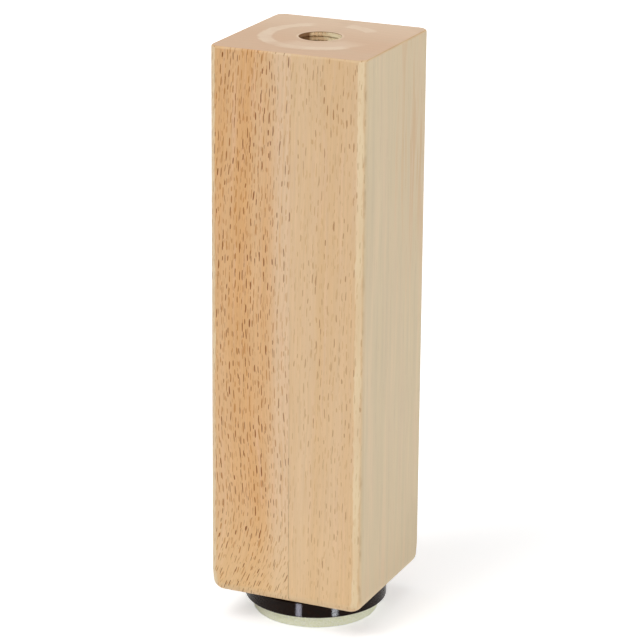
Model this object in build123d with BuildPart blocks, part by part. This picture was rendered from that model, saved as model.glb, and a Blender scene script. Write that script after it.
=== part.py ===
from build123d import *
import os

# Square wooden furniture leg on a screw-in levelling foot.
# The post is two beech staves glued side by side, with a threaded insert sunk in each end.
# The upper insert takes the bolt that holds the leg, the lower one the stem of the levelling foot.
# Origin: centre of the felt's underside. +Z runs up the leg, and the glue line shows on the -Y face.
# All sizes are in millimetres.

# Wooden post
post_width = 45.0
post_length = 155.0
arris_radius = 3.0
top_edge_radius = 0.7
bottom_edge_radius = 3.2
foot_corner_radius = 4.5
foot_corner_height = 6.0
edge_share = 0.95
glue_line_offset = 1.6

# Threaded inserts and the bores that hold them
thread_diameter = 8.0
bore_diameter = 11.6
insert_clearance = 0.05
insert_length = 15.0
insert_chamfer = 0.6
slot_width = 2.0
slot_depth = 2.5
top_insert_sink = 5.0
foot_insert_sink = 1.0
bolt_end_room = 8.0
stem_end_room = 3.0

# Levelling foot: moulded disc with a stem cast into it
disc_diameter = 39.8
disc_thickness = 4.5
disc_edge_radius = 0.4
disc_top_chamfer = 0.4
disc_gap = 0.3
stem_reach = 30.0
stem_clearance = 0.05
stem_tip_chamfer = 1.0
head_across_flats = 14.0
head_thickness = 2.0
head_floor = 0.8

# Felt pad in the disc's underside
pad_diameter = 35.0
pad_thickness = 4.8
pad_edge_chamfer = 0.4
seat_depth = 1.0
seat_clearance = 0.25

# Levels up the leg, from the felt's underside
disc_bottom = pad_thickness - seat_depth
disc_top = disc_bottom + disc_thickness
head_bottom = pad_thickness + head_floor
head_top = head_bottom + head_thickness
stem_tip = disc_top + stem_reach
post_bottom = disc_top + disc_gap
post_top = post_bottom + post_length
corner_top = post_bottom + foot_corner_height

# Planes on the post's two ends, facing outwards, and the glue line's plane
top_end = Plane.XY.offset(post_top)
foot_end = Plane(origin=(0, 0, post_bottom), x_dir=(1, 0, 0), z_dir=(0, 0, -1))
disc_underside = Plane(origin=(0, 0, disc_bottom), x_dir=(1, 0, 0), z_dir=(0, 0, -1))
glue_plane = Plane.YZ.offset(glue_line_offset)

# Edge roundings, held under the radius of the corners they run round
top_rounding = min(top_edge_radius, edge_share * arris_radius)
bottom_rounding = min(bottom_edge_radius, edge_share * foot_corner_radius)

# Radii of the round fits
bore_radius = bore_diameter / 2
insert_radius = bore_radius - insert_clearance
thread_radius = thread_diameter / 2
stem_radius = thread_radius - stem_clearance
pad_radius = pad_diameter / 2
seat_radius = pad_radius + seat_clearance

# Bores deep enough for an insert and what is screwed through it
top_bore_depth = top_insert_sink + insert_length + bolt_end_room
foot_bore_depth = stem_tip - post_bottom + stem_end_room

# Whole post: long arrises rounded and wider at the foot, where the corners are sanded back.
# The top edge is only broken, the bottom edge well rounded, and each end has a bore.
with BuildPart() as post:
    with BuildSketch(Plane.XY.offset(post_bottom)):
        RectangleRounded(post_width, post_width, foot_corner_radius)
    with BuildSketch(Plane.XY.offset(corner_top)):
        RectangleRounded(post_width, post_width, arris_radius)
    loft(ruled=True)
    with BuildSketch(Plane.XY.offset(corner_top)):
        RectangleRounded(post_width, post_width, arris_radius)
    extrude(amount=post_top - corner_top)
    fillet(post.faces().sort_by(Axis.Z)[-1].edges(), radius=top_rounding)
    fillet(post.faces().sort_by(Axis.Z)[0].edges(), radius=bottom_rounding)
    with Locations(top_end):
        Hole(bore_radius, depth=top_bore_depth)
    with Locations(foot_end):
        Hole(bore_radius, depth=foot_bore_depth)

# The two staves are the post's halves on either side of the glue line
with BuildPart() as left_stave:
    add(post)
    split(bisect_by=glue_plane, keep=Keep.BOTTOM)
left_stave.part.label = "left_stave"

with BuildPart() as right_stave:
    add(post)
    split(bisect_by=glue_plane, keep=Keep.TOP)
right_stave.part.label = "right_stave"


def slotted_insert(mouth):
    """Threaded sleeve that runs inwards from its mouth, with a slot across the mouth to drive it."""
    with BuildPart() as sleeve:
        with BuildSketch(mouth):
            Circle(insert_radius)
            Circle(thread_radius, mode=Mode.SUBTRACT)
        extrude(amount=-insert_length)
        rims = sleeve.edges().filter_by(GeomType.CIRCLE).sort_by(SortBy.RADIUS)[-2:]
        chamfer(rims, length=insert_chamfer)
        with BuildSketch(mouth):
            Rectangle(bore_diameter, slot_width)
        extrude(amount=-slot_depth, mode=Mode.SUBTRACT)
    return sleeve


# Upper insert, sunk below the post's top
top_insert = slotted_insert(top_end.offset(-top_insert_sink))
top_insert.part.label = "top_insert"

# Lower insert, just inside the post's bottom end
foot_insert = slotted_insert(foot_end.offset(-foot_insert_sink))
foot_insert.part.label = "foot_insert"

# Stem of the levelling foot: a threaded rod with a flat hexagonal head
with BuildPart() as foot_stem:
    with BuildSketch(Plane.XY.offset(head_bottom)):
        RegularPolygon(head_across_flats / 2, side_count=6, major_radius=False)
    extrude(amount=head_thickness)
    with BuildSketch(Plane.XY.offset(head_top)):
        Circle(stem_radius)
    extrude(amount=stem_tip - head_top)
    chamfer(foot_stem.faces().sort_by(Axis.Z)[-1].edges(), length=stem_tip_chamfer)
foot_stem.part.label = "foot_stem"

# Disc of the levelling foot, moulded round the stem's head, with a shallow seat for the felt below
with BuildPart() as foot_disc:
    with BuildSketch(Plane.XY.offset(disc_bottom)):
        Circle(disc_diameter / 2)
    extrude(amount=disc_thickness)
    fillet(foot_disc.faces().sort_by(Axis.Z)[0].edges(), radius=disc_edge_radius)
    chamfer(foot_disc.faces().sort_by(Axis.Z)[-1].edges(), length=disc_top_chamfer)
    with Locations(disc_underside):
        Hole(seat_radius, depth=seat_depth)
    add(foot_stem, mode=Mode.SUBTRACT)
foot_disc.part.label = "foot_disc"

# Felt pad that the leg stands on
with BuildPart() as felt_pad:
    with BuildSketch():
        Circle(pad_radius)
    extrude(amount=pad_thickness)
    chamfer(felt_pad.faces().sort_by(Axis.Z)[0].edges(), length=pad_edge_chamfer)
felt_pad.part.label = "felt_pad"

os.makedirs("parts", exist_ok=True)
export_step(left_stave.part, "parts/left_stave.step")
export_step(right_stave.part, "parts/right_stave.step")
export_step(top_insert.part, "parts/top_insert.step")
export_step(foot_insert.part, "parts/foot_insert.step")
export_step(foot_stem.part, "parts/foot_stem.step")
export_step(foot_disc.part, "parts/foot_disc.step")
export_step(felt_pad.part, "parts/felt_pad.step")
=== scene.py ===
import math
import random

import bpy
from mathutils import Matrix, Vector


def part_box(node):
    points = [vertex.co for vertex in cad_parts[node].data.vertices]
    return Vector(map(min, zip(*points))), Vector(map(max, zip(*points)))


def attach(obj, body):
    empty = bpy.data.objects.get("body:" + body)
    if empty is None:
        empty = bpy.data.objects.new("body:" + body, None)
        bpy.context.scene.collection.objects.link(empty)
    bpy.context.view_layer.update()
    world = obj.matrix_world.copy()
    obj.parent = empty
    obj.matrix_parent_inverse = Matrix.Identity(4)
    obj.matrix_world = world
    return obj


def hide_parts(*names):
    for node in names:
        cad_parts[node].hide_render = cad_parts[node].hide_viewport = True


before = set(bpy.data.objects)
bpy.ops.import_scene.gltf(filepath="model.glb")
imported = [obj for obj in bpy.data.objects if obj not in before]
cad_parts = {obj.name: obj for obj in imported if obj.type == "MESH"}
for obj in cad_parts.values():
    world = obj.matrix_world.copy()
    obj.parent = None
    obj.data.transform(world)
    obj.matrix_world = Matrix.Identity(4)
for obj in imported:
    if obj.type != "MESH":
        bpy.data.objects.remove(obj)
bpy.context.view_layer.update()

# Left and right stave of the post.
# Two beech boards glued edge to edge, planed square and lacquered. The arrises are rounded over, and the
# flat-sawn front shows the ends of the wood's rays as short brown flecks that follow the grain.

millimetre = 0.001


def corners(node):
    """Lowest and highest corner of a solid of the frame, in millimetres."""
    return [Vector(corner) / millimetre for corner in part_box(node)]


post_low, post_high = corners("left_stave")
post_bottom = post_low.z
post_top = post_high.z
post_length = post_top - post_bottom
post_middle = (post_bottom + post_top) / 2
glue_line = post_high.x
bore_radius = 5.8


def tint(red, green, blue):
    """A colour as seen on screen, 0 to 255, as the light it stands for."""
    shares = [value / 255 for value in (red, green, blue)]
    return (*[s / 12.92 if s < 0.04045 else ((s + 0.055) / 1.055) ** 2.4 for s in shares], 1.0)


class Field:
    """A number that varies over a surface, so that a finish reads as a formula."""

    def __init__(self, finish, socket):
        self.finish = finish
        self.socket = socket

    def __add__(self, other):
        return self.finish.math("ADD", self, other)

    def __sub__(self, other):
        return self.finish.math("SUBTRACT", self, other)

    def __rsub__(self, other):
        return self.finish.math("SUBTRACT", other, self)

    def __mul__(self, other):
        return self.finish.math("MULTIPLY", self, other)

    __rmul__ = __mul__

    def __truediv__(self, other):
        return self.finish.math("DIVIDE", self, other)

    def __abs__(self):
        return self.finish.math("ABSOLUTE", self)


class Finish:
    """One surface finish: a material whose nodes are added and joined by short calls."""

    def __init__(self, name):
        self.material = bpy.data.materials.new(name)
        self.material.use_nodes = True
        self.nodes = self.material.node_tree.nodes
        self.links = self.material.node_tree.links
        self.nodes.clear()
        self.surface = self.nodes.new("ShaderNodeBsdfPrincipled")
        self.output = self.nodes.new("ShaderNodeOutputMaterial")
        self.links.new(self.surface.outputs["BSDF"], self.output.inputs["Surface"])
        self.where = self.nodes.new("ShaderNodeTexCoord")

    def feed(self, socket, value):
        """Links a field to a socket, or sets a plain value on it."""
        if isinstance(value, Field):
            self.links.new(value.socket, socket)
        else:
            socket.default_value = value

    def shine(self, **values):
        """Sets the named values of the surface, such as base_color or roughness."""
        for name, value in values.items():
            words = [word.upper() if word == "ior" else word.capitalize() for word in name.split("_")]
            self.feed(self.surface.inputs[" ".join(words)], value)

    def math(self, operation, *values):
        """One step of arithmetic on fields and numbers."""
        step = self.nodes.new("ShaderNodeMath")
        step.operation = operation
        for socket, value in zip(step.inputs, values):
            self.feed(socket, value)
        return Field(self, step.outputs[0])

    def parts(self, socket):
        """The three numbers of a place, a direction or a colour."""
        split = self.nodes.new("ShaderNodeSeparateXYZ")
        self.links.new(socket, split.inputs[0])
        return [Field(self, out) for out in split.outputs]

    def place(self):
        """Where the surface is in its own frame, in millimetres."""
        return [axis * (1 / millimetre) for axis in self.parts(self.where.outputs["Object"])]

    def facing(self):
        """Which way the surface looks."""
        return self.parts(self.where.outputs["Normal"])

    def joined(self, x, y, z):
        """Three numbers as one place."""
        join = self.nodes.new("ShaderNodeCombineXYZ")
        for socket, value in zip(join.inputs, (x, y, z)):
            self.feed(socket, value)
        return Field(self, join.outputs[0])

    def step(self, value, low, high):
        """Rises smoothly from 0 to 1 as the value goes from low to high."""
        ramp = self.nodes.new("ShaderNodeMapRange")
        ramp.interpolation_type = "SMOOTHSTEP"
        self.feed(ramp.inputs["Value"], value)
        self.feed(ramp.inputs["From Min"], low)
        self.feed(ramp.inputs["From Max"], high)
        return Field(self, ramp.outputs["Result"])

    def band(self, value, low, high, soft):
        """1 between low and high, falling to 0 over a soft edge on either side."""
        return self.step(value, low - soft, low) * (1 - self.step(value, high, high + soft))

    def spread(self, share, low, high):
        """Goes from low to high as the share goes from 0 to 1."""
        return share * (high - low) + low

    def cloud(self, x, y, z, detail=2.0):
        """Smooth mottling between -1 and 1 or so, with one patch for each unit."""
        noise = self.nodes.new("ShaderNodeTexNoise")
        self.feed(noise.inputs["Vector"], self.joined(x, y, z))
        noise.inputs["Scale"].default_value = 1.0
        noise.inputs["Detail"].default_value = detail
        return Field(self, noise.outputs[0]) * 2 - 1

    def chances(self, column, row):
        """Three numbers between 0 and 1, the same all over one cell of a grid."""
        dice = self.nodes.new("ShaderNodeTexWhiteNoise")
        dice.noise_dimensions = "2D"
        self.feed(dice.inputs["Vector"], self.joined(column, row, 0.0))
        return self.parts(dice.outputs["Color"])

    def mixed(self, first, second, share):
        """A colour that goes from the first to the second with share."""
        mix = self.nodes.new("ShaderNodeMix")
        mix.data_type = "RGBA"
        factor, colour_a, colour_b = mix.inputs[0], mix.inputs[6], mix.inputs[7]
        self.feed(factor, share)
        self.feed(colour_a, first)
        self.feed(colour_b, second)
        return Field(self, mix.outputs[2])

    def shaded(self, colour, level):
        """A colour made lighter or darker by level, 1 leaving it as it is."""
        scale = self.nodes.new("ShaderNodeVectorMath")
        scale.operation = "SCALE"
        self.feed(scale.inputs[0], colour)
        self.feed(scale.inputs["Scale"], level)
        return Field(self, scale.outputs[0])

    def relief(self, height, depth, strength=1.0):
        """Fine relief of that depth in millimetres, from a height between 0 and 1."""
        bump = self.nodes.new("ShaderNodeBump")
        bump.inputs["Strength"].default_value = strength
        bump.inputs["Distance"].default_value = depth * millimetre
        self.feed(bump.inputs["Height"], height)
        self.links.new(bump.outputs["Normal"], self.surface.inputs["Normal"])


class Beech(Finish):
    """Lacquered beech: flat-sawn in front and behind, quarter-sawn at the sides, end grain at the ends."""

    def __init__(self, name, colours, seed):
        super().__init__(name)
        self.colours = colours
        self.seed = seed
        self.x, self.y, self.z = self.place()
        self.look_x, self.look_y, self.look_z = self.facing()
        self.on_end = self.step(abs(self.look_z), 0.80, 0.97)
        self.on_side = self.step(abs(self.look_x), 0.80, 0.97)
        self.from_axis = self.math("SQRT", self.x * self.x + self.y * self.y)

    def stained(self, ground, name, share):
        """The ground with a share of one of the board's own colours over it."""
        return self.mixed(ground, self.colours[name], share)

    def towards(self, degrees):
        """1 for places in that direction from the leg's axis, and -1 for those opposite."""
        angle = math.radians(degrees)
        return (self.x * math.cos(angle) + self.y * math.sin(angle)) / self.from_axis

    def lay_grain(self, tilt, lean, foot_sweep):
        """Grain lines of the flat-sawn faces: they lean, waver, and sweep to one side close to the foot."""
        x, z, seed = self.x, self.z, self.seed
        turn_height = 85.0
        turn_softness = 15.0
        sweep_height = 30.0
        back_shift = 61.0
        from_turn = z - turn_height
        bend = self.math("SQRT", from_turn * from_turn + turn_softness * turn_softness)
        self.near_foot = self.math("MAXIMUM", (post_bottom + sweep_height - z) / sweep_height, 0.0)
        swept = x - z * tilt - bend * lean + self.near_foot * self.near_foot * foot_sweep
        waver = self.cloud(x * 0.10 + seed, 0.0, z * 0.045, detail=1.0) * 0.9
        jitter = self.cloud(x * 0.6 + seed, 4.0, z * 0.3, detail=1.0) * 0.22
        on_back = self.step(self.look_y, 0.0, 0.2)
        self.across = swept + waver + jitter + on_back * back_shift + seed

    def flat_sawn(self, pale_share):
        """Broad bands, stripes that turn rosy or yellow, fine fibres, a pale strip by the glue, and painted
        floor light that makes the board paler towards the foot.
        """
        across, z, seed = self.across, self.z, self.seed
        pale_width, pale_fade_width = 3.0, 8.0
        painted_floor_light = 0.0005
        bands = self.cloud(across * 0.14, 0.0, z * 0.005 + seed, detail=1.0)
        stripes = self.cloud(across * 0.75, 0.0, z * 0.03 + seed, detail=2.0)
        self.fibre = self.cloud(across * 1.9, self.y * 0.4, z * 0.055, detail=3.0)
        from_glue = abs(self.x - glue_line) + stripes * 1.2
        self.pale_edge = 1 - self.step(from_glue, pale_width, pale_fade_width)
        front = self.stained(self.colours["board"], "amber", self.step(bands, -0.35, 0.35))
        front = self.stained(front, "pale", self.pale_edge * pale_share)
        front = self.stained(front, "rosy", self.step(stripes, 0.0, 0.5) * 0.65)
        front = self.stained(front, "amber", self.step(-1 * stripes, 0.0, 0.5) * 0.45)
        # Painted light: near the foot the board takes the foot tone, and it grows lighter downwards,
        # standing in for light thrown up from the floor.
        front = self.stained(front, "foot", self.near_foot * 0.6)
        return self.shaded(front, self.fibre * 0.14 + (post_middle - z) * painted_floor_light + 1.0)

    def pale_arris_with_highlight(self, front):
        """Arrises painted paler, partly rubbed wear and partly a painted highlight, with an uneven edge
        towards the front.
        """
        x, y, z, seed = self.x, self.y, self.z, self.seed
        uneven = self.cloud(x * 0.3, y * 0.3, z * 0.22 + seed, detail=3.0) * 0.2
        upright = 1 - self.step(abs(self.look_z), 0.3, 0.6)
        self.arris = self.band(abs(self.look_x) + uneven, 0.40, 0.74, 0.13) * upright
        arris_paleness = self.step(self.cloud(x * 0.2, y * 0.2, z * 0.06 + seed), -0.6, 0.4)
        # The pale arris is partly rubbed wear and partly a painted highlight where the rounding turns from
        # front to side.
        return self.stained(front, "rubbed_and_highlight", self.arris * self.spread(arris_paleness, 0.4, 0.85))

    def flecks(self, across, spacing, half_size, share, seed):
        """Spindle-shaped ends of rays, strung along the grain: 1 inside a fleck, and a chance for each."""
        lane_width, row_length = spacing
        half_width, half_length = half_size
        rows_shifted = 7.0
        rows_apart = 50.0
        aside_room = 0.45
        ahead_room = 0.3
        lane = across / lane_width
        lane_number = self.math("FLOOR", lane)
        row = self.z / row_length + self.chances(lane_number, seed)[0] * rows_shifted
        row_number = self.math("FLOOR", row)
        cell = row_number + seed * rows_apart
        long_chance, wide_chance, place_chance = self.chances(lane_number, cell)
        aside_chance, there_chance, dark_chance = self.chances(lane_number, cell + 0.5)
        aside = (lane - lane_number - 0.5 - (aside_chance - 0.5) * aside_room) * lane_width
        ahead = (row - row_number - 0.5 - (place_chance - 0.5) * ahead_room) * row_length
        sideways = abs(aside) / (half_width * self.spread(wide_chance, 0.7, 1.3))
        lengthways = ahead / (half_length * self.spread(long_chance, 0.55, 1.45))
        tapered = lengthways * lengthways
        inside = self.step(1 - sideways - tapered * tapered, 0.0, 0.4)
        return inside * self.step(share - there_chance, 0.0, 0.25), dark_chance

    def ray_flecks(self, front, half_size, share, depth, fade):
        """Flecks in three sizes, fewer beside the glue, shorter at the foot and fainter down the board."""
        half_width, half_length = half_size
        thinned = share * (1 - self.pale_edge * 0.2)
        shortened = 1 - self.near_foot * 0.25
        self.rays = 0.0
        dark = 0.0
        large = (1.2, 3.6, 1.0, 1.0)
        middling = (1.5, 4.3, 0.85, 0.85)
        small = (0.8, 2.7, 0.6, 0.5)
        for lane_width, row_length, size, strength in (large, middling, small):
            layer, chance = self.flecks(
                self.across + lane_width,
                spacing=(lane_width, row_length),
                half_size=(half_width * size, shortened * (half_length * size)),
                share=thinned,
                seed=self.seed + lane_width,
            )
            self.rays = self.math("MAXIMUM", self.rays, layer * self.spread(chance, 0.5, 1.0) * strength)
            dark = self.math("MAXIMUM", dark, layer * chance)
        fleck_colour = self.stained(self.colours["fleck"], "dark_fleck", self.step(dark, 0.3, 0.9))
        level = depth * (1 - (post_top - self.z) * (fade / post_length))
        drawn = self.rays * (1 - self.pale_edge * 0.25) * (1 - self.arris * 0.5) * level
        return self.mixed(front, fleck_colour, drawn)

    def quarter_sawn(self):
        """Soft upright streaks, browner high up towards the back and close to the foot, and faint rays."""
        y, z, seed = self.y, self.z, self.seed
        side_lean = 0.02
        brown_heights = (70.0, 140.0)
        brown_depths = (-12.0, 14.0)
        foot_heights = (12.0, 28.0)
        wavy = y + self.cloud(y * 0.1, 8.0, z * 0.03 + seed, detail=1.0) * 1.6
        self.streak = self.cloud(wavy * 0.75 + seed, self.x * 0.2, z * 0.028 + seed, detail=3.0)
        patch = self.cloud(wavy * 0.2 + seed, 3.0, z * 0.014 + seed, detail=2.0)
        side = self.stained(self.colours["side"], "rosy_side", self.step(patch, -0.2, 0.6))
        high_at_back = self.step(z, *brown_heights) * self.step(y, *brown_depths)
        low_down = 1 - self.step(z, *foot_heights)
        brown_streak = self.step(self.streak + patch * 0.5, 0.0, 0.3)
        browner = (high_at_back + low_down * 0.3) * self.spread(brown_streak, 0.1, 0.85)
        side = self.stained(side, "brown_side", browner)
        side = self.shaded(side, self.streak * 0.13 + patch * 0.07 + 1.0)
        self.side_rays, _ = self.flecks(
            y + side_lean * z, spacing=(1.6, 7.0), half_size=(0.12, 2.2), share=0.5, seed=seed + 11.0
        )
        return self.stained(side, "side_fleck_and_edge_shade", self.side_rays * 0.16)

    def worn_lit_and_shaded_edges(self, colour):
        """End edges a little paler, partly rubbed wear and partly a painted highlight, and a broken brown
        line where the arris meets the side, partly nicks and partly painted shade.
        """
        x, y, z, seed = self.x, self.y, self.z, self.seed
        broken = self.step(self.cloud(x * 0.15 + seed, y * 0.15, 1.0), -0.3, 0.4)
        top_edge = self.band(self.look_z, 0.2, 0.85, 0.12) * broken * 0.28
        low_edge = self.band(-1 * self.look_z, 0.2, 0.8, 0.15) * 0.2
        # The paler top edge is partly rubbed wear and partly a painted highlight along the rounding.
        colour = self.stained(colour, "rubbed_and_highlight", top_edge + low_edge)
        # The broken line where the arris meets the side is partly brown nicks and partly painted shade.
        nicked = self.step(self.cloud(9.0, seed, z * 0.22), -0.1, 0.5)
        nick = self.band(abs(self.look_x), 0.86, 0.95, 0.03) * nicked
        upright = 1 - self.step(abs(self.look_z), 0.1, 0.3)
        return self.stained(colour, "side_fleck_and_edge_shade", nick * upright * 0.3)

    def end_grain(self):
        """Fine pores, rays running front to back and faint growth rings."""
        x, y, z, seed = self.x, self.y, self.z, self.seed
        heart_distance = 140.0
        rings_per_millimetre = 2.3 / (2 * math.pi)
        deep = y + heart_distance
        from_heart = self.math("SQRT", x * x + deep * deep)
        ring_turns = from_heart * (2 * math.pi * rings_per_millimetre)
        rings = self.math("SINE", ring_turns + self.cloud(x * 0.12, y * 0.12, seed) * 1.5)
        end_rays = self.cloud(x * 2.6 + seed, y * 0.10, z)
        self.pores = self.cloud(x * 7.0, y * 7.0, z, detail=1.0)
        end = self.stained(self.colours["end"], "end_back", self.step(y, -6.0, 20.0))
        patch = self.cloud(x * 0.07 + seed, y * 0.09, 5.0)
        end = self.stained(end, "end_grey", self.step(patch, -0.1, 0.5) * 0.6)
        return self.shaded(end, rings * 0.010 + end_rays * 0.012 + self.pores * 0.02 + 1.0)

    def collar_mark(self, end):
        """Pale ring on the top end, left by the collar of whatever was bolted on, broken on the right."""
        x, y = self.x, self.y
        ring_inside, ring_outside = 13.4, 16.2
        smear_inside, smear_outside = 9.0, 14.5
        on_top = self.step(self.look_z, 0.8, 0.97)
        ragged = self.cloud(x * 0.35, y * 0.35, 2.0) * 0.7 + self.cloud(x * 1.4, y * 1.4, 6.0) * 0.5
        ring = self.band(self.from_axis + ragged, ring_inside, ring_outside, 0.8)
        long_arc = self.step(self.towards(220), -0.30, -0.05)
        short_arc = self.step(self.towards(64), 0.92, 0.97)
        faint_arc = self.step(self.towards(254), 0.88, 0.98)
        arc = self.math("MAXIMUM", long_arc, short_arc) * (1 - faint_arc * 0.5)
        wear = self.step(self.cloud(x * 0.22, y * 0.22, 7.0), -0.8, 0.5)
        end = self.stained(end, "ring", ring * arc * on_top * self.spread(wear, 0.4, 0.9))
        smear = self.band(self.from_axis + ragged * 2, smear_inside, smear_outside, 2.0)
        smear = smear * self.step(self.towards(-66), 0.5, 0.85)
        end = self.stained(end, "ring", smear * on_top * 0.45)
        # Painted highlight: a thin pale rim round the mouth of the bore.
        rim_highlight = 1 - self.step(self.from_axis, bore_radius + 0.15, bore_radius + 0.9)
        return self.stained(end, "ring", rim_highlight * 0.7)

    def glue_seam(self, colour):
        """Thin brown glue line, clearer low down."""
        core, soft_edge = 0.03, 0.17
        clear_height, faint_height = 20.0, 110.0
        seam = 1 - self.step(abs(self.x - glue_line), core, soft_edge)
        clearer = (1 - self.step(self.z, clear_height, faint_height)) * 0.45 + 0.08
        broken = self.step(self.cloud(5.0, self.y * 0.2, self.z * 0.15), -0.6, 0.2)
        return self.stained(colour, "seam", seam * clearer * broken)

    def lacquer(self, colour):
        """Thin satin lacquer that lets the grain be felt, duller on the ends and raw inside the bores."""
        in_bore = 1 - self.step(self.from_axis, bore_radius + 0.02, bore_radius + 0.1)
        flat = (1 - self.on_side) * (1 - self.on_end)
        quarter = self.on_side * (1 - self.on_end)
        grain_rays = self.rays * flat + self.side_rays * quarter * 0.5
        grain_fibre = self.fibre * flat + self.streak * quarter
        dull = self.math("MAXIMUM", self.on_end * 0.12, in_bore * 0.4)
        self.shine(base_color=self.stained(colour, "raw", in_bore))
        self.shine(roughness=grain_rays * 0.1 + grain_fibre * 0.03 + dull + 0.44)
        self.shine(specular_ior_level=0.3, coat_weight=0.08, coat_roughness=0.32)
        height = 0.6 - grain_rays * 0.35 + grain_fibre * 0.06 + self.pores * self.on_end * 0.1
        self.relief(height, depth=0.1, strength=0.3)


def beech(name, colours, seed, grain, pale_share, flecks):
    """The finish of one board, from the sawn faces to the lacquer."""
    board = Beech(name, colours, seed)
    board.lay_grain(**grain)
    front = board.pale_arris_with_highlight(board.flat_sawn(pale_share))
    front = board.ray_flecks(front, **flecks)
    colour = board.mixed(front, board.quarter_sawn(), board.on_side)
    colour = board.worn_lit_and_shaded_edges(colour)
    end = board.collar_mark(board.end_grain())
    colour = board.mixed(colour, end, board.on_end)
    board.lacquer(board.glue_seam(colour))
    return board.material


left_colours = {
    "board": tint(214, 175, 129),
    "amber": tint(211, 163, 108),
    "pale": tint(217, 188, 152),
    "rosy": tint(216, 176, 138),
    # The foot tone is painted light: the colour the board takes close to the floor, standing in for light
    # thrown up from it.
    "foot": tint(219, 186, 136),
    "fleck": tint(172, 107, 22),
    "dark_fleck": tint(122, 65, 0),
    "side": tint(209, 187, 151),
    "rosy_side": tint(213, 186, 152),
    "brown_side": tint(199, 166, 126),
    # The side fleck colour also paints the line of shade where the arris meets the side, and the rubbed
    # colour is partly wear and partly a painted highlight.
    "side_fleck_and_edge_shade": tint(160, 122, 82),
    "rubbed_and_highlight": tint(226, 204, 164),
    "end": tint(211, 175, 142),
    "end_back": tint(220, 190, 160),
    "end_grey": tint(210, 180, 149),
    "ring": tint(230, 206, 179),
    "seam": tint(120, 84, 52),
    "raw": tint(176, 136, 98),
}
right_colours = dict(
    left_colours,
    board=tint(214, 182, 141),
    amber=tint(212, 176, 130),
    pale=tint(217, 187, 148),
    rosy=tint(215, 182, 145),
    # Painted floor light near the foot, as on the left board.
    foot=tint(215, 181, 134),
    fleck=tint(182, 132, 74),
    dark_fleck=tint(144, 92, 38),
    side=tint(209, 188, 151),
    rosy_side=tint(213, 187, 152),
    brown_side=tint(198, 164, 122),
)
left_beech = beech(
    "left_beech",
    left_colours,
    seed=3.1,
    grain=dict(tilt=0.0, lean=0.042, foot_sweep=7.5),
    pale_share=0.85,
    flecks=dict(half_size=(0.175, 1.3), share=0.88, depth=1.0, fade=0.0),
)
right_beech = beech(
    "right_beech",
    right_colours,
    seed=17.6,
    grain=dict(tilt=0.022, lean=0.0, foot_sweep=0.0),
    pale_share=0.5,
    flecks=dict(half_size=(0.16, 1.25), share=0.6, depth=0.85, fade=0.42),
)


def dress(node, material):
    """Gives a solid of the frame its finish."""
    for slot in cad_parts[node].material_slots:
        slot.material = material


dress("left_stave", left_beech)
dress("right_stave", right_beech)

# Thread left in the bore of the top end.
# The coarse outer thread of the insert cut these ridges into the raw wood as it was driven in, and tore
# some fibres, so they are uneven and dry.

top_insert_low, top_insert_high = corners("top_insert")
mouth_inset = 0.12
bore_mouth = post_top - mouth_inset
ridge_foot = top_insert_high.z
ridge_pitch = 1.15
ridge_depth = 0.38
ridge_root = bore_radius - 0.03
ridge_backing = bore_radius + 0.02
ridge_run_out = 0.5
upper_flank = 0.8
ridge_count = 160
ridge_step = 0.08
torn_fibres = random.Random(5)


def mesh_piece(name, points, faces, material, body):
    """A new piece of the object, from points in millimetres, that moves with a body."""
    mesh = bpy.data.meshes.new(name)
    mesh.from_pydata([Vector(point) * millimetre for point in points], [], faces)
    mesh.validate()
    mesh.update()
    mesh.polygons.foreach_set("use_smooth", [True] * len(mesh.polygons))
    mesh.materials.append(material)
    piece = bpy.data.objects.new(name, mesh)
    bpy.context.scene.collection.objects.link(piece)
    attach(piece, body)
    return piece


def ring_grid(rings, turns_closed=False):
    """Points and faces of a skin through rings of as many points each, given from one end to the other."""
    count = len(rings[0])
    points = [point for ring in rings for point in ring]
    pairs = list(zip(range(len(rings)), range(1, len(rings))))
    if turns_closed:
        pairs.append((len(rings) - 1, 0))
    faces = []
    for near, far in pairs:
        for i in range(count):
            j = (i + 1) % count
            faces.append((near * count + i, near * count + j, far * count + j, far * count + i))
    return points, faces


def about_axis(angle, radius, height):
    """A point at an angle and a distance from the leg's axis."""
    return (radius * math.cos(angle), radius * math.sin(angle), height)


def angles_round(count):
    """Angles that part a full turn into as many equal steps."""
    return [2 * math.pi * i / count for i in range(count)]


def circle(radius, height, count):
    """A ring of points about the leg's axis; the radius is a number, or a rule that gives one by angle."""
    radius_at = radius if callable(radius) else lambda angle: radius
    return [about_axis(angle, radius_at(angle), height) for angle in angles_round(count)]


def ridge_radius(angle, height, tear):
    """Inside radius of the torn ridges at a place on the bore's wall."""
    phase = (height / ridge_pitch - angle / (2 * math.pi)) % 1.0
    crest = 1 - phase / upper_flank if phase < upper_flank else (phase - upper_flank) / (1 - upper_flank)
    fade = min(1.0, (bore_mouth - height) / ridge_run_out)
    return ridge_root - fade * ridge_depth * crest * tear


tears = [torn_fibres.uniform(0.3, 1.15) for _ in range(ridge_count)]
ridge_rings = [circle(ridge_backing, ridge_foot, ridge_count)]
for level in range(int((bore_mouth - ridge_foot) / ridge_step) + 1):
    height = ridge_foot + level * ridge_step
    nicks = [torn_fibres.uniform(0.8, 1.0) for _ in range(ridge_count)]
    ring = []
    for angle, tear, nick in zip(angles_round(ridge_count), tears, nicks):
        ring.append(about_axis(angle, ridge_radius(angle, height, tear * nick), height))
    ridge_rings.append(ring)
ridge_rings.append(circle(ridge_backing, bore_mouth, ridge_count))

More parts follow.
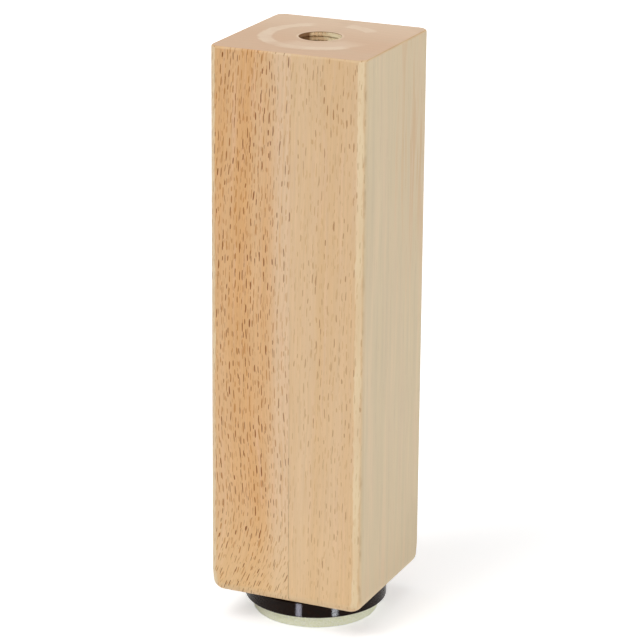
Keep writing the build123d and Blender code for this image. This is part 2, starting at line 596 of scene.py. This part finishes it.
raw_wood = Finish("raw_bore_wood")
x, y, z = raw_wood.place()
raw_grain = raw_wood.cloud(x * 1.8, y * 1.8, z * 0.7, detail=4.0)
upright_tear = raw_wood.cloud(x * 2.4, y * 2.4, z * 0.3, detail=3.0)
turn_share = raw_wood.math("ARCTAN2", y, x) / (2 * math.pi)
ridge_phase = raw_wood.math("FRACT", z / ridge_pitch - turn_share + raw_grain * 0.25 + 10.0)
# Painted shade: the root of each ridge is darkened as shade in the groove; the torn fibres are the wood's
# own.
groove_shade = raw_wood.band(ridge_phase, 0.70, 0.92, 0.1) * raw_wood.step(upright_tear, -0.3, 0.4)
torn = raw_wood.step(upright_tear, 0.12, 0.36)
# Painted light and shadow: the wall is darkened on the left, where it lies in shade, and made pale on the
# right, where the light falls into the bore.
to_the_right = (x * 0.92 + y * 0.4) / bore_radius
painted_shadow_side = 1 - raw_wood.step(to_the_right + upright_tear * 0.15, -0.55, -0.35)
painted_lit_side = raw_wood.step(to_the_right + raw_grain * 0.4, 0.1, 0.55)
# The raw colour is painted paler than the wood, standing in for light reaching into the bore.
raw_colour = raw_wood.mixed(tint(248, 208, 160), tint(255, 230, 188), raw_wood.step(raw_grain, -0.5, 0.6))
torn_and_groove_shade = raw_wood.math("MAXIMUM", groove_shade * 0.7, torn * 0.7)
raw_colour = raw_wood.mixed(raw_colour, tint(150, 104, 62), torn_and_groove_shade)
raw_colour = raw_wood.mixed(raw_colour, tint(128, 84, 48), painted_shadow_side * 0.88)
raw_colour = raw_wood.mixed(raw_colour, tint(255, 238, 198), painted_lit_side)
raw_wood.shine(base_color=raw_colour, roughness=0.85, specular_ior_level=0.15)
raw_wood.relief(raw_grain * 0.5 + upright_tear, depth=0.15, strength=0.5)
ridge_points, ridge_faces = ring_grid(ridge_rings, turns_closed=True)
mesh_piece("bore_ridges", ridge_points, ridge_faces, raw_wood.material, "leg")

# Threaded inserts in both ends.
# Turned steel sleeves, zinc plated, driven in with a screwdriver slot across the mouth. Only the upper
# one shows, down in its bore, with the thread for the fixing bolt.

thread_pitch = 1.25
thread_depth = 0.68
thread_radius = 4.0
thread_root = thread_radius - 0.01
thread_backing = thread_radius + 0.02
thread_run_out = 0.6
thread_count = 72
thread_step = thread_pitch / 14
slot_depth = 2.5
thread_inset = 0.3
slot_room = 0.1
thread_bottom = top_insert_low.z + thread_inset
thread_top = top_insert_high.z - slot_depth - slot_room


def zinc(name, bright, dull):
    """Zinc plating: greyish and a little cloudy, with fine turning marks round the axis."""
    plate = Finish(name)
    x, y, z = plate.place()
    cloudy = plate.cloud(x * 0.5, y * 0.5, z * 0.5, detail=4.0)
    turned = plate.cloud(0.0, 0.0, z * 6.0, detail=2.0)
    plate.shine(base_color=plate.mixed(dull, bright, plate.step(cloudy, -0.5, 0.5)))
    plate.shine(metallic=1.0, roughness=cloudy * 0.08 + turned * 0.04 + 0.34)
    plate.relief(turned, depth=0.02, strength=0.4)
    return plate.material


insert_zinc = zinc("insert_zinc", bright=tint(196, 196, 190), dull=tint(160, 158, 148))
dress("top_insert", insert_zinc)
dress("foot_insert", insert_zinc)


def thread_rise(angle, height):
    """0 at the root of a metric thread and 1 at its crest."""
    phase = (height / thread_pitch - angle / (2 * math.pi)) % 1.0
    crest_share = 0.125
    flank_share = 0.3125
    from_crest = abs(phase - 0.5) - crest_share / 2
    return min(1.0, max(0.0, 1.0 - from_crest / flank_share))


inner_rings = [circle(thread_backing, thread_bottom, thread_count)]
for level in range(int((thread_top - thread_bottom) / thread_step) + 1):
    height = thread_bottom + level * thread_step
    fade = min(1.0, (thread_top - height) / thread_run_out, (height - thread_bottom) / thread_run_out)
    inner_rings.append(
        circle(lambda a: thread_root - fade * thread_depth * thread_rise(a, height), height, thread_count)
    )
inner_rings.append(circle(thread_backing, height, thread_count))
thread_points, thread_faces = ring_grid(inner_rings, turns_closed=True)
mesh_piece("top_insert_thread", thread_points, thread_faces, insert_zinc, "leg")

# Stem of the levelling foot.
# A steel rod with a rolled thread and a flat hexagonal head. The head is cast into the disc, and the rod
# runs up through the lower insert.

stem_low, stem_high = corners("foot_stem")
disc_low, disc_high = corners("foot_disc")
stem_radius = 3.95
stem_run_out = 1.0
tip_chamfer = 1.0
tip_bottom = stem_high.z - tip_chamfer
head_across_flats = stem_high.y - stem_low.y
head_thickness = 2.0
head_top = stem_low.z + head_thickness
plain_inset = 0.2
plain_top = disc_high.z - plain_inset
end_point = 0.001


def hexagon_radius(angle):
    """Distance from the axis to the side of the hexagonal head."""
    from_flat = angle % (math.pi / 3) - math.pi / 6
    return head_across_flats / 2 / math.cos(from_flat)


stem_rings = [
    circle(end_point, stem_low.z, thread_count),
    circle(hexagon_radius, stem_low.z, thread_count),
    circle(hexagon_radius, head_top, thread_count),
    circle(stem_radius, head_top, thread_count),
    circle(stem_radius, plain_top, thread_count),
]
height = disc_high.z
while height < stem_high.z:
    widest = stem_radius - max(0.0, height - tip_bottom)
    cut = thread_depth * min(1.0, (height - disc_high.z) / stem_run_out)
    stem_rings.append(
        circle(lambda a: min(widest, stem_radius - cut + cut * thread_rise(a, height)), height, thread_count)
    )
    height += thread_step
stem_rings.append(circle(stem_radius - tip_chamfer, stem_high.z, thread_count))
stem_rings.append(circle(end_point, stem_high.z, thread_count))

stem_zinc = zinc("stem_zinc", bright=tint(202, 202, 200), dull=tint(168, 167, 162))
stem_points, stem_faces = ring_grid(stem_rings)
stem = mesh_piece("threaded_stem", stem_points, stem_faces, stem_zinc, "foot")
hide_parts("foot_stem")

# Disc of the levelling foot.
# Black plastic moulded round the head of the stem, with a glossy wall that is gripped to turn the foot. The
# turned mould leaves fine rings round it, too small to see, that draw the lights out into upright gleams.

mould_ring_pitch = 0.18
mould_ring_slope = math.radians(13.85)
mould_ring_share = 0.75
mould_ring_depth = mould_ring_share * mould_ring_pitch * math.tan(mould_ring_slope)
black = Finish("black_plastic")
x, y, z = black.place()
scuff = black.cloud(x * 0.4, y * 0.4, z * 1.2, detail=5.0)
black.shine(base_color=black.mixed(tint(20, 6, 0), tint(28, 11, 3), black.step(scuff, -0.3, 0.6)))
black.shine(roughness=black.step(scuff, -0.2, 1.0) * 0.02 + 0.075, specular_ior_level=0.07)
mould_phase = black.math("FRACT", z / mould_ring_pitch)
long_flank = (1 - mould_phase) / mould_ring_share
short_flank = mould_phase / (1 - mould_ring_share)
black.relief(black.math("MINIMUM", long_flank, short_flank), depth=mould_ring_depth)
dress("foot_disc", black.material)

# Felt pad under the disc.
# A die-cut round of pressed cream wool felt, set in the disc's shallow seat. Its cut edge is soft and
# uneven, and its lower edge is rounded where the leg stands on it.

pad_low, pad_high = corners("felt_pad")
pad_radius = pad_high.x
pad_top = pad_high.z - 0.01
pad_floor = pad_low.z + 0.02
edge_radius = pad_radius + 0.02
edge_bulge = 0.35
free_swing = 0.22
seated_swing = 0.03
lower_lift = 0.05
felt_count = 220
felt_middle = 0.02
wave_count = 26
cut_edge = random.Random(11)
edge_waves = []
for _ in range(wave_count):
    edge_waves.append((cut_edge.randint(3, 60), cut_edge.uniform(0.0, 6.28), cut_edge.uniform(0.3, 1.0)))


def wander(angle, height):
    """Uneven cut of the felt's edge, between about -1 and 1."""
    total = 0.0
    for count, phase, size in edge_waves:
        total += size * math.sin(count * angle + phase + height * 0.9) / count ** 0.5
    return total / 3.0


# Each pair is a share of the felt's height and how far its edge stands out there
felt_profile = [
    (0.0, -0.5), (0.06, -0.2), (0.2, -0.05), (0.4, 0.0), (0.6, 0.03), (0.78, 0.02), (0.9, 0.0), (1.0, -0.02),
]
felt_rings = [circle(felt_middle, pad_floor, felt_count)]
for inset in (0.3, 0.6, 0.85, 0.95):
    felt_rings.append(circle(pad_radius * inset, pad_floor, felt_count))
for rise, bulge in felt_profile:
    height = pad_floor + rise * (pad_top - pad_floor)
    swing = free_swing if height < disc_low.z else seated_swing
    lift = lower_lift if rise == 0.0 else 0.0
    ring = []
    for angle in angles_round(felt_count):
        radius = edge_radius + edge_bulge * bulge + swing * wander(angle, height)
        ring.append(about_axis(angle, radius, height + lift * (1 + wander(angle, 40.0))))
    felt_rings.append(ring)
felt_rings.append(circle(felt_middle, pad_top, felt_count))

felt = Finish("cream_felt")
x, y, z = felt.place()
matting = felt.cloud(x * 2.2, y * 2.2, z * 2.2, detail=6.0)
tufts = felt.cloud(x * 0.5, y * 0.5, z * 0.8, detail=3.0)
felt_colour = felt.mixed(tint(243, 244, 202), tint(255, 255, 230), felt.step(matting, -0.5, 0.5))
felt_colour = felt.mixed(felt_colour, tint(235, 239, 190), felt.step(tufts, 0.0, 0.7) * 0.5)
felt.shine(base_color=felt_colour, roughness=0.95, specular_ior_level=0.1)
felt.shine(sheen_weight=0.4, sheen_roughness=0.6)
felt.relief(matting, depth=0.25, strength=0.8)
felt_points, felt_faces = ring_grid(felt_rings)
pad = mesh_piece("felt_round", felt_points, felt_faces, felt.material, "pad")
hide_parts("felt_pad")

# Floor, light and camera.
# The leg stands on a plain white floor, which stays under the felt when the foot is wound out. Soft boxes
# light it from the front left, the right and above, and two narrow strips give the gloss of the disc.

half_floor = 3.0
floor_corners = [(x * half_floor, y * half_floor, 0) for x, y in ((-1, -1), (1, -1), (1, 1), (-1, 1))]
floor_mesh = bpy.data.meshes.new("floor")
floor_mesh.from_pydata(floor_corners, [], [(0, 1, 2, 3)])
floor = bpy.data.objects.new("floor", floor_mesh)
bpy.context.scene.collection.objects.link(floor)
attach(floor, "pad")


def seen_background(tree):
    """1 where the background is seen, straight or in gloss or glass, and 0 where it only gives light."""
    path = tree.nodes.new("ShaderNodeLightPath")
    seen = path.outputs["Is Camera Ray"]
    for ray in ("Is Glossy Ray", "Is Transmission Ray"):
        either = tree.nodes.new("ShaderNodeMath")
        either.operation = "MAXIMUM"
        tree.links.new(seen, either.inputs[0])
        tree.links.new(path.outputs[ray], either.inputs[1])
        seen = either.outputs[0]
    return seen


white = (1.0, 1.0, 1.0, 1.0)
near_glow = 0.45
far_glow = 1.05
glow_rises_from, glow_rises_to = 350.0, 1400.0
floor_paint = Finish("floor_paint")
x, y, z = floor_paint.place()
far_off = floor_paint.step(floor_paint.math("SQRT", x * x + y * y), glow_rises_from, glow_rises_to)
floor_seen = Field(floor_paint, seen_background(floor_paint.material.node_tree))
floor_paint.shine(base_color=tint(245, 245, 245), roughness=0.9, specular_ior_level=0.0)
floor_paint.shine(emission_color=white)
floor_paint.shine(emission_strength=floor_seen * floor_paint.spread(far_off, near_glow, far_glow))
floor_mesh.materials.append(floor_paint.material)

sky_light = 0.28
sky_seen = 1.0
world = bpy.data.worlds.new("studio")
bpy.context.scene.world = world
world.use_nodes = True
backdrop = world.node_tree.nodes["Background"]
backdrop.inputs["Color"].default_value = white
sky_level = world.node_tree.nodes.new("ShaderNodeMapRange")
sky_level.inputs["To Min"].default_value = sky_light
sky_level.inputs["To Max"].default_value = sky_seen
world.node_tree.links.new(seen_background(world.node_tree), sky_level.inputs["Value"])
world.node_tree.links.new(sky_level.outputs["Result"], backdrop.inputs["Strength"])


def away_from_leg(azimuth, elevation):
    """Direction from the leg to a place round the right of its front and above it, by two angles."""
    flat = math.cos(elevation)
    return Vector((math.sin(azimuth) * flat, -math.cos(azimuth) * flat, math.sin(elevation)))


def studio_lamp(name, shape, direction, distance, size, watts, colour=(1.0, 1.0, 1.0)):
    """A flat lamp, in metres, that looks at the middle of the leg from a direction in degrees."""
    lamp = bpy.data.lights.new(name, "AREA")
    lamp.shape = shape
    lamp.size, lamp.size_y = size
    lamp.energy = watts
    lamp.color = colour
    stand = bpy.data.objects.new(name, lamp)
    away = away_from_leg(*[math.radians(angle) for angle in direction])
    stand.location = Vector((0, 0, post_middle)) * millimetre + away * distance
    stand.rotation_euler = away.to_track_quat("Z", "Y").to_euler()
    bpy.context.scene.collection.objects.link(stand)


bluish = (0.86, 0.85, 1.0)
cool = (0.90, 0.94, 1.0)
studio_lamp("front_strip", "ELLIPSE", (-2.5, 1), distance=2.0, size=(0.36, 0.04), watts=5.2, colour=bluish)
studio_lamp("right_strip", "ELLIPSE", (54, 1), distance=2.0, size=(0.38, 0.045), watts=7.0, colour=cool)
studio_lamp("left_box", "RECTANGLE", (-28, 52), distance=2.4, size=(1.2, 1.2), watts=25.0)
studio_lamp("right_box", "RECTANGLE", (106, 20), distance=2.4, size=(1.2, 1.2), watts=13.0)
studio_lamp("overhead_box", "RECTANGLE", (0, 88), distance=2.2, size=(1.5, 1.5), watts=11.0)

camera_azimuth = math.radians(23.744)
camera_elevation = math.radians(17.961)
camera_roll = math.radians(0.476)
camera_distance = 820.5
camera_side_step = 0.546
camera_aim_height = 84.146
lens = 168.113
sensor_width = 36.0
nearest_seen = 0.05

camera_data = bpy.data.cameras.new("camera")
camera_data.sensor_width = sensor_width
camera_data.lens = lens
camera_data.clip_start = nearest_seen
camera = bpy.data.objects.new("camera", camera_data)
right = Vector((math.cos(camera_azimuth), math.sin(camera_azimuth), 0))
back = away_from_leg(camera_azimuth, camera_elevation)
up = back.cross(right)
aim = right * camera_side_step + Vector((0, 0, camera_aim_height))
turn = Matrix((right, up, back)).transposed() @ Matrix.Rotation(camera_roll, 3, "Z")
camera.matrix_world = Matrix.Translation((aim + back * camera_distance) * millimetre) @ turn.to_4x4()
bpy.context.scene.collection.objects.link(camera)
bpy.context.scene.camera = camera
bpy.context.scene.view_settings.view_transform = "Standard"
